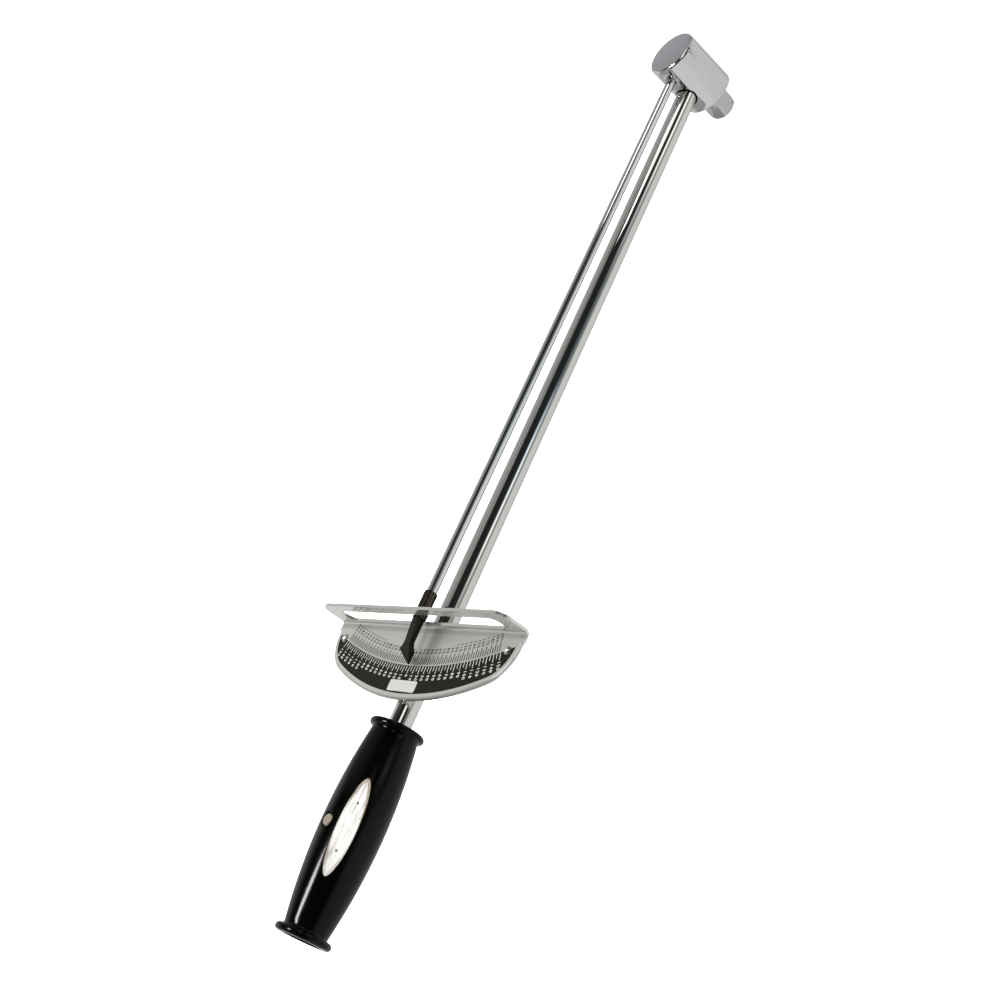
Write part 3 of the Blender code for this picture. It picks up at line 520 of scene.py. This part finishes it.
nodeFinishes = {
    "drive_head": headChrome, "detent_ball": headChrome, "detent_spring": springSteel,
    "beam": beamChrome, "pointer_rod": rodChrome, "pointer": pointerPlastic, "scale_plate": plateMetal,
    "stop_stud_left": studChrome, "stop_stud_right": studChrome, "plate_saddle": zinc, "saddle_cap": zinc,
    "saddle_screw_left": zinc, "saddle_screw_right": zinc, "handle_grip": gripBlack, "pivot_pin": nickel,
    "nameplate": nameplateMetal, "nameplate_rivet_front": nickel, "nameplate_rivet_rear": nickel,
}
for name, mat in nodeFinishes.items():
    for slot in nodes[name].material_slots:
        slot.material = mat
print("finishes on the packed nodes")


# pieces
def keep(name, bm, mat, body=None, crease=30.0):
    mesh = bpy.data.meshes.new(name)
    bm.normal_update()
    bm.to_mesh(mesh)
    bm.free()
    mesh.shade_smooth()
    mesh.set_sharp_from_angle(angle=radians(crease))
    mesh.materials.append(mat)
    piece = bpy.data.objects.new(name, mesh)
    bpy.context.scene.collection.objects.link(piece)
    if body:
        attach(piece, body)
    return piece


def flatten(piece, area):
    # a hard edge all round each large face, so that it shades flat
    bm = bmesh.new()
    bm.from_mesh(piece.data)
    for edge in bm.edges:
        if max(f.calc_area() for f in edge.link_faces) > area and edge.calc_face_angle(0.0) > radians(2.0):
            edge.smooth = False
    bm.to_mesh(piece.data)
    bm.free()


def evaluated(obj):
    bpy.context.view_layer.update()
    mesh = bpy.data.meshes.new_from_object(obj.evaluated_get(bpy.context.evaluated_depsgraph_get()))
    bm = bmesh.new()
    bm.from_mesh(mesh)
    bpy.data.objects.remove(obj, do_unlink=True)
    bpy.data.meshes.remove(mesh)
    return bm


def carve(bm, cutter, operation="DIFFERENCE"):
    # one exact boolean between two bmeshes, both used up
    pair = []
    for part in (bm, cutter):
        mesh = bpy.data.meshes.new("carve")
        part.to_mesh(mesh)
        part.free()
        obj = bpy.data.objects.new("carve", mesh)
        bpy.context.scene.collection.objects.link(obj)
        pair.append(obj)
    mod = pair[0].modifiers.new("carve", "BOOLEAN")
    mod.solver = "EXACT"
    mod.operation = operation
    mod.object = pair[1]
    done = evaluated(pair[0])
    bpy.data.objects.remove(pair[1], do_unlink=True)
    return done


def bar(radius, start, end, steps, segments=96):
    # a round bar along X in even steps
    bm = bmesh.new()
    turn = Matrix.Rotation(radians(90.0), 4, "Y")
    ring = bmesh.ops.create_circle(bm, cap_ends=True, segments=segments, radius=radius, matrix=turn)["verts"]
    bmesh.ops.translate(bm, vec=(start, 0.0, 0.0), verts=ring)
    step = (end - start) / steps
    cap = list(bm.faces)
    for i in range(steps):
        made = bmesh.ops.extrude_face_region(bm, geom=cap, use_keep_orig=(i == 0))["geom"]
        moved = [g for g in made if isinstance(g, bmesh.types.BMVert)]
        bmesh.ops.translate(bm, vec=(step, 0.0, 0.0), verts=moved)
        cap = [g for g in made if isinstance(g, bmesh.types.BMFace)]
    bmesh.ops.recalc_face_normals(bm, faces=bm.faces)
    return bm


def turned(line, segments):
    # a solid turned round Z from a line of (radius, height) places
    bm = bmesh.new()
    verts = [bm.verts.new((r, 0.0, z)) for r, z in line]
    edges = [bm.edges.new(pair) for pair in zip(verts, verts[1:])]
    bmesh.ops.spin(bm, geom=verts + edges, axis=(0.0, 0.0, 1.0), cent=(0.0, 0.0, 0.0), angle=2.0 * pi,
                   steps=segments, use_merge=True)
    bmesh.ops.remove_doubles(bm, verts=bm.verts, dist=0.000001)
    bmesh.ops.recalc_face_normals(bm, faces=bm.faces)
    return bm


def flatShape(outline, low, high):
    # a filled outline, given its thickness between two levels
    curve = bpy.data.curves.new("outline", "CURVE")
    curve.dimensions = "2D"
    curve.fill_mode = "BOTH"
    curve.extrude = (high - low) / 2.0
    spline = curve.splines.new("POLY")
    spline.points.add(len(outline) - 1)
    for point, (x, y) in zip(spline.points, outline):
        point.co = (x, y, 0.0, 1.0)
    spline.use_cyclic_u = True
    obj = bpy.data.objects.new("outline", curve)
    bpy.context.scene.collection.objects.link(obj)
    bm = evaluated(obj)
    bmesh.ops.remove_doubles(bm, verts=bm.verts, dist=0.000001)
    bmesh.ops.translate(bm, vec=(0.0, 0.0, (low + high) / 2.0), verts=bm.verts)
    bmesh.ops.recalc_face_normals(bm, faces=bm.faces)
    return bm


def arc(cx, cy, radius, start, end, count):
    step = radians(end - start) / count
    first = radians(start)
    return [(cx + radius * cos(first + step * i), cy + radius * sin(first + step * i)) for i in range(count + 1)]


# head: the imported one, with the end of its square turned round
headSettings = {
    "end": 0.0061,       # radius of the turned end face
    "corner": 0.0085,    # and where the turning leaves the square's corners
    "rise": 0.0046,
    "clear": 0.0003,
    "root": 0.0125,      # below the fillet under the head
    "square": 0.0152,
    "flat": 0.00004,
    "wide": 0.03,
    "high": 0.07,
}


def makeHead(s):
    bm = bmesh.new()
    bm.from_mesh(nodes["drive_head"].data)
    bmesh.ops.remove_doubles(bm, verts=bm.verts, dist=0.000002)
    reach = s["corner"] - s["end"]
    line = [(0.0, 0.0)]
    line += [(s["end"] + reach * sin(radians(a)), s["rise"] * (1.0 - cos(radians(a)))) for a in range(0, 91, 9)]
    line += [(s["corner"] + s["clear"], s["rise"] + s["clear"]), (s["corner"] + s["clear"], s["root"]),
             (s["wide"], s["root"]), (s["wide"], s["high"]), (0.0, s["high"])]
    line[0] = (0.0, -s["clear"] / 3.0)
    line[1] = (s["end"], -s["clear"] / 3.0)
    bm = carve(bm, turned(line, 96), "INTERSECT")
    piece = keep("head_forging", bm, headChrome, "head", 24.0)
    piece.data.materials.append(squareChrome)
    for face in piece.data.polygons:
        if face.center.z < s["square"]:
            face.material_index = 1
    flatten(piece, s["flat"])
    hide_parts("drive_head")
    return piece


makeHead(headSettings)
print("head made")

# beam: the same bar in short steps
beamSettings = {
    "radius": 0.0060,
    "bend": 0.08,        # half the length that bends
    "chamfer": 0.0008,
    "pinPlay": 0.0003,
    "pinRadius": 0.0032,
}


def makeBeam(s):
    low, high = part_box("beam")
    axis = (low[2] + high[2]) / 2.0
    bm = bar(s["radius"], low[0], high[0], 170)
    rims = [e for e in bm.edges if len({f for f in e.link_faces if len(f.verts) > 8}) == 1]
    bmesh.ops.bevel(bm, geom=rims, offset=s["chamfer"], segments=2, profile=0.5, affect="EDGES", material=-1)
    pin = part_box("pivot_pin")
    hole = bmesh.new()
    bmesh.ops.create_cone(hole, cap_ends=True, segments=48, radius1=s["pinRadius"] + s["pinPlay"],
                          radius2=s["pinRadius"] + s["pinPlay"], depth=0.04)
    bmesh.ops.translate(hole, vec=((pin[0][0] + pin[1][0]) / 2.0, 0.0, 0.0), verts=hole.verts)
    bm = carve(bm, hole)
    bmesh.ops.translate(bm, vec=(0.0, 0.0, axis), verts=bm.verts)
    piece = keep("beam_bar", bm, beamChrome)
    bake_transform(piece)
    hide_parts("beam")
    return piece


makeBeam(beamSettings)
print("beam made")


# handle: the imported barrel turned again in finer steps
gripSettings = {
    "radius": 0.0157,
    "taper": 0.0049,
    "belly": 0.0039,       # ahead of the pin
    "half": 0.0538,
    "flange": 0.0143,
    "flangeWide": 0.0038,
    "fillet": 0.0012,
    "bore": 0.0088,
    "mouth": 0.0012,
    "facetAngle": 46.0,
    "facetDepth": 0.00103,
    "pinHole": 0.0035,
    "pinRing": 0.0009,
    "over": 0.002,
    "steps": 44,
    "flat": 0.00004,
}


def makeGrip(s):
    low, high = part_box("handle_grip")
    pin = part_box("pivot_pin")
    pinX, axis = (pin[0][0] + pin[1][0]) / 2.0, (pin[0][2] + pin[1][2]) / 2.0
    rear, front, over = low[0], high[0], s["over"]
    centre = Matrix.Translation((pinX, 0.0, axis))
    lie = Matrix.Translation((0.0, 0.0, axis)) @ Matrix.Rotation(radians(90.0), 4, "Y")

    def barrel(x):
        return s["radius"] - s["taper"] * ((x - pinX - s["belly"]) / s["half"]) ** 2

    r = s["flangeWide"] / 2.0
    neck = s["flangeWide"] + s["fillet"]
    roll = [radians(90.0 - 11.25 * k) for k in range(17)]
    sweep = [radians(15.0 * k) for k in range(1, 6)]
    foot = [s["flange"] - r - barrel(x) for x in (front - neck, rear + neck)]
    line = [(0.0, front)] + [(s["flange"] - r + r * cos(a), front - r + r * sin(a)) for a in roll]
    line += [(barrel(front - neck) + foot[0] * (1.0 - sin(a)), front - neck + s["fillet"] * cos(a)) for a in sweep]
    length = front - rear - 2.0 * neck
    along = [front - neck - length * k / s["steps"] for k in range(s["steps"] + 1)]
    line += [(barrel(x), x) for x in along]
    line += [(barrel(rear + neck) + foot[1] * (1.0 - sin(a)), rear + neck - s["fillet"] * cos(a))
             for a in reversed(sweep)]
    line += [(s["flange"] - r + r * cos(a), rear + r + r * sin(a)) for a in roll] + [(0.0, rear)]
    bm = turned(line, 128)
    bmesh.ops.transform(bm, matrix=lie, verts=bm.verts)

    wide = s["bore"] + s["mouth"] + over
    hollow = turned([(0.0, front + over), (wide, front + over), (s["bore"], front - s["mouth"]),
                     (s["bore"], rear + s["mouth"]), (wide, rear - over), (0.0, rear - over)], 96)
    bmesh.ops.transform(hollow, matrix=lie, verts=hollow.verts)
    bm = carve(bm, hollow)

    # the flat, tipped so that its outline is centred on the pin
    slope = 2.0 * s["taper"] * s["belly"] / s["half"] ** 2
    place = centre @ Matrix.Rotation(radians(s["facetAngle"]), 4, "X")
    place = place @ Matrix.Translation((0.0, 0.0, s["radius"] - s["facetDepth"])) @ Matrix.Rotation(-atan(slope), 4, "Y")
    cutter = bmesh.new()
    block = bmesh.ops.create_cube(cutter, size=1.0)["verts"]
    bmesh.ops.scale(cutter, vec=(2.0 * (s["half"] - s["flangeWide"] - over), 0.03, 0.006), verts=block)
    bmesh.ops.translate(cutter, vec=(0.0, 0.0, 0.003), verts=block)
    bmesh.ops.transform(cutter, matrix=place, verts=block)
    bm = carve(bm, cutter)

    top = s["radius"] + over
    sunk = s["radius"] - s["pinRing"]
    hole = [(0.0, top), (s["pinHole"] + top - sunk, top), (s["pinHole"], sunk), (s["pinHole"], -sunk),
            (s["pinHole"] + top - sunk, -top), (0.0, -top)]
    through = turned(hole, 64)
    bmesh.ops.transform(through, matrix=centre, verts=through.verts)
    bm = carve(bm, through)
    piece = keep("grip_barrel", bm, gripBlack, "grip")
    flatten(piece, s["flat"])
    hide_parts("handle_grip")
    return piece


makeGrip(gripSettings)
print("handle made")

# dial: black enamel band, ticks and numbers, printed on the plate
dialSettings = {
    "centreX": -0.1976,
    "radius": 0.2004,
    "span": 18.9,
    "print": 0.00003,       # thickness of the paint
    "lift": 0.00001,
    "margin": 0.0030,       # bare edge round the band
    "corner": 0.0220,
    "side": 0.0042,
    "stud": 0.0024,
    "outerTop": 150,
    "outerLong": 0.0042,
    "outerShort": 0.0029,
    "outerWide": 0.00030,
    "outerText": 0.0028,
    "outerTextFrom": 0.0046,
    "innerTop": 200,
    "innerFull": 203.4,
    "innerLong": (0.0008, 0.0058),
    "innerShort": (0.0008, 0.0042),
    "innerWide": 0.00058,
    "innerText": 0.0026,
    "innerTextFrom": 0.0064,
}


def bandOutline(s):
    # the plate's outline, drawn in by the margin, and the scale's arc
    m = s["margin"]
    rc = s["corner"]
    centre, big, cx, cy = plateArc(rc, s["side"])
    meet = degrees(acos((centre - cx) / (big - rc)))
    right = arc(cx, cy, rc - m, 90.0, 180.0 - meet, 14)
    base = arc(centre, 0.0, big - m, 180.0 - meet, 180.0 + meet, 48)
    left = arc(cx, -cy, rc - m, 180.0 + meet, 270.0, 14)
    edge = [p for p in right + base[1:-1] + left if (p[0] - s["centreX"]) ** 2 + p[1] ** 2 > s["radius"] ** 2]
    first = atan2(edge[0][1], edge[0][0] - s["centreX"])
    last = atan2(edge[-1][1], edge[-1][0] - s["centreX"]) + 2.0 * pi
    back = arc(s["centreX"], 0.0, s["radius"], degrees(last), degrees(first), 64)
    return edge + back


def studHoles(bm, s):
    for name in ("stop_stud_left", "stop_stud_right"):
        low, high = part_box(name)
        hole = bmesh.new()
        bmesh.ops.create_cone(hole, cap_ends=True, segments=32, radius1=s["stud"], radius2=s["stud"], depth=0.01)
        bmesh.ops.translate(hole, vec=((low[0] + high[0]) / 2.0, (low[1] + high[1]) / 2.0, high[2]), verts=hole.verts)
        bm = carve(bm, hole)
    return bm


def dialLevel():
    # the plate's upper side is where the studs' heads end, less their height
    return plateTop + dialSettings["lift"]


plateTop = 0.0387


def makeBand(s):
    bm = flatShape(bandOutline(s), dialLevel(), dialLevel() + s["print"])
    bm = studHoles(bm, s)
    piece = keep("dial_band", bm, enamel, "frame")
    return piece


def dialPlace(s, angle, radius, level):
    # a frame on the dial: X outward along the radius, Y along the arc
    a = radians(180.0 + angle)
    spot = Matrix.Translation((s["centreX"] + radius * cos(a), radius * sin(a), level))
    return spot @ Matrix.Rotation(a, 4, "Z")


def ticks(name, s, marks, level, mat):
    bm = bmesh.new()
    for angle, near, far, wide in marks:
        made = bmesh.ops.create_cube(bm, size=1.0)["verts"]
        bmesh.ops.scale(bm, vec=(far - near, wide, s["print"]), verts=made)
        place = dialPlace(s, angle, (near + far) / 2.0, level + s["print"] / 2.0)
        bmesh.ops.transform(bm, matrix=place, verts=made)
    return keep(name, bm, mat, "frame")


def digitShapes(size, thickness, weight):
    # one mesh for each digit, low in detail, lying along X
    shapes = {}
    for digit in "0123456789":
        font = bpy.data.curves.new("digit", "FONT")
        font.body = digit
        font.size = size
        font.resolution_u = 2
        font.extrude = thickness / 2.0
        font.offset = weight
        font.align_x = "CENTER"
        font.align_y = "CENTER"
        obj = bpy.data.objects.new("digit", font)
        bpy.context.scene.collection.objects.link(obj)
        bm = evaluated(obj)
        bmesh.ops.remove_doubles(bm, verts=bm.verts, dist=0.000001)
        mesh = bpy.data.meshes.new("digit_" + digit)
        bm.to_mesh(mesh)
        bm.free()
        shapes[digit] = mesh
    return shapes


def numbers(name, s, size, labels, level, mat, weight=0.0):
    shapes = digitShapes(size, s["print"], weight)
    pitch = 0.62 * size
    bm = bmesh.new()
    for angle, start, label in labels:
        for i, digit in enumerate(label):
            before = len(bm.verts)
            bm.from_mesh(shapes[digit])
            bm.verts.ensure_lookup_table()
            place = dialPlace(s, angle, start + pitch * (i + 0.5), level + s["print"] / 2.0)
            bmesh.ops.transform(bm, matrix=place, verts=bm.verts[before:])
    return keep(name, bm, mat, "frame")


def makeDial(s):
    makeBand(s)
    r = s["radius"]
    over = dialLevel() + s["print"] + s["lift"]
    step = s["span"] / s["outerTop"]
    marks = []
    for value in range(-s["outerTop"], s["outerTop"] + 1, 5):
        length = s["outerLong"] if value % 10 == 0 else s["outerShort"]
        marks.append((value * step, r + 0.0002, r + length, s["outerWide"]))
    ticks("dial_ticks_outer", s, marks, over, whiteInk)
    labels = [(v * step, r + s["outerTextFrom"], str(abs(v))) for v in range(-s["outerTop"], s["outerTop"] + 1, 10)]
    numbers("dial_numbers_outer", s, s["outerText"], labels, over, whiteInk)

    level = dialLevel()
    step = s["span"] / s["innerFull"]
    marks = []
    for value in range(-s["innerTop"], s["innerTop"] + 1, 5):
        near, far = s["innerLong"] if value % 10 == 0 else s["innerShort"]
        marks.append((value * step, r - far, r - near, s["innerWide"]))
    ticks("dial_ticks_inner", s, marks, level, blackInk)
    labels = []
    pitch = 0.62 * s["innerText"]
    for v in range(-s["innerTop"], s["innerTop"] + 1, 10):
        text = str(abs(v))
        labels.append((v * step, r - s["innerTextFrom"] - pitch * len(text), text))
    numbers("dial_numbers_inner", s, s["innerText"], labels, level, blackInk, 0.00006)


makeDial(dialSettings)
print("dial printed")


# bare plate on the dial
badgeSettings = {"centre": (-0.4091, -0.0008), "length": 0.0228, "width": 0.0060, "corner": 0.0009, "height": 0.00012}


def makeBadge(s):
    x, y = s["centre"]
    a = s["width"] / 2.0 - s["corner"]
    b = s["length"] / 2.0 - s["corner"]
    c = s["corner"]
    ring = arc(x + a, y + b, c, 0.0, 90.0, 6) + arc(x - a, y + b, c, 90.0, 180.0, 6)
    ring += arc(x - a, y - b, c, 180.0, 270.0, 6) + arc(x + a, y - b, c, 270.0, 360.0, 6)
    low = dialLevel() + dialSettings["print"] + dialSettings["lift"]
    piece = keep("dial_badge", flatShape(ring, low, low + s["height"]), badgeMetal, "frame")
    return piece


makeBadge(badgeSettings)
print("badge placed")
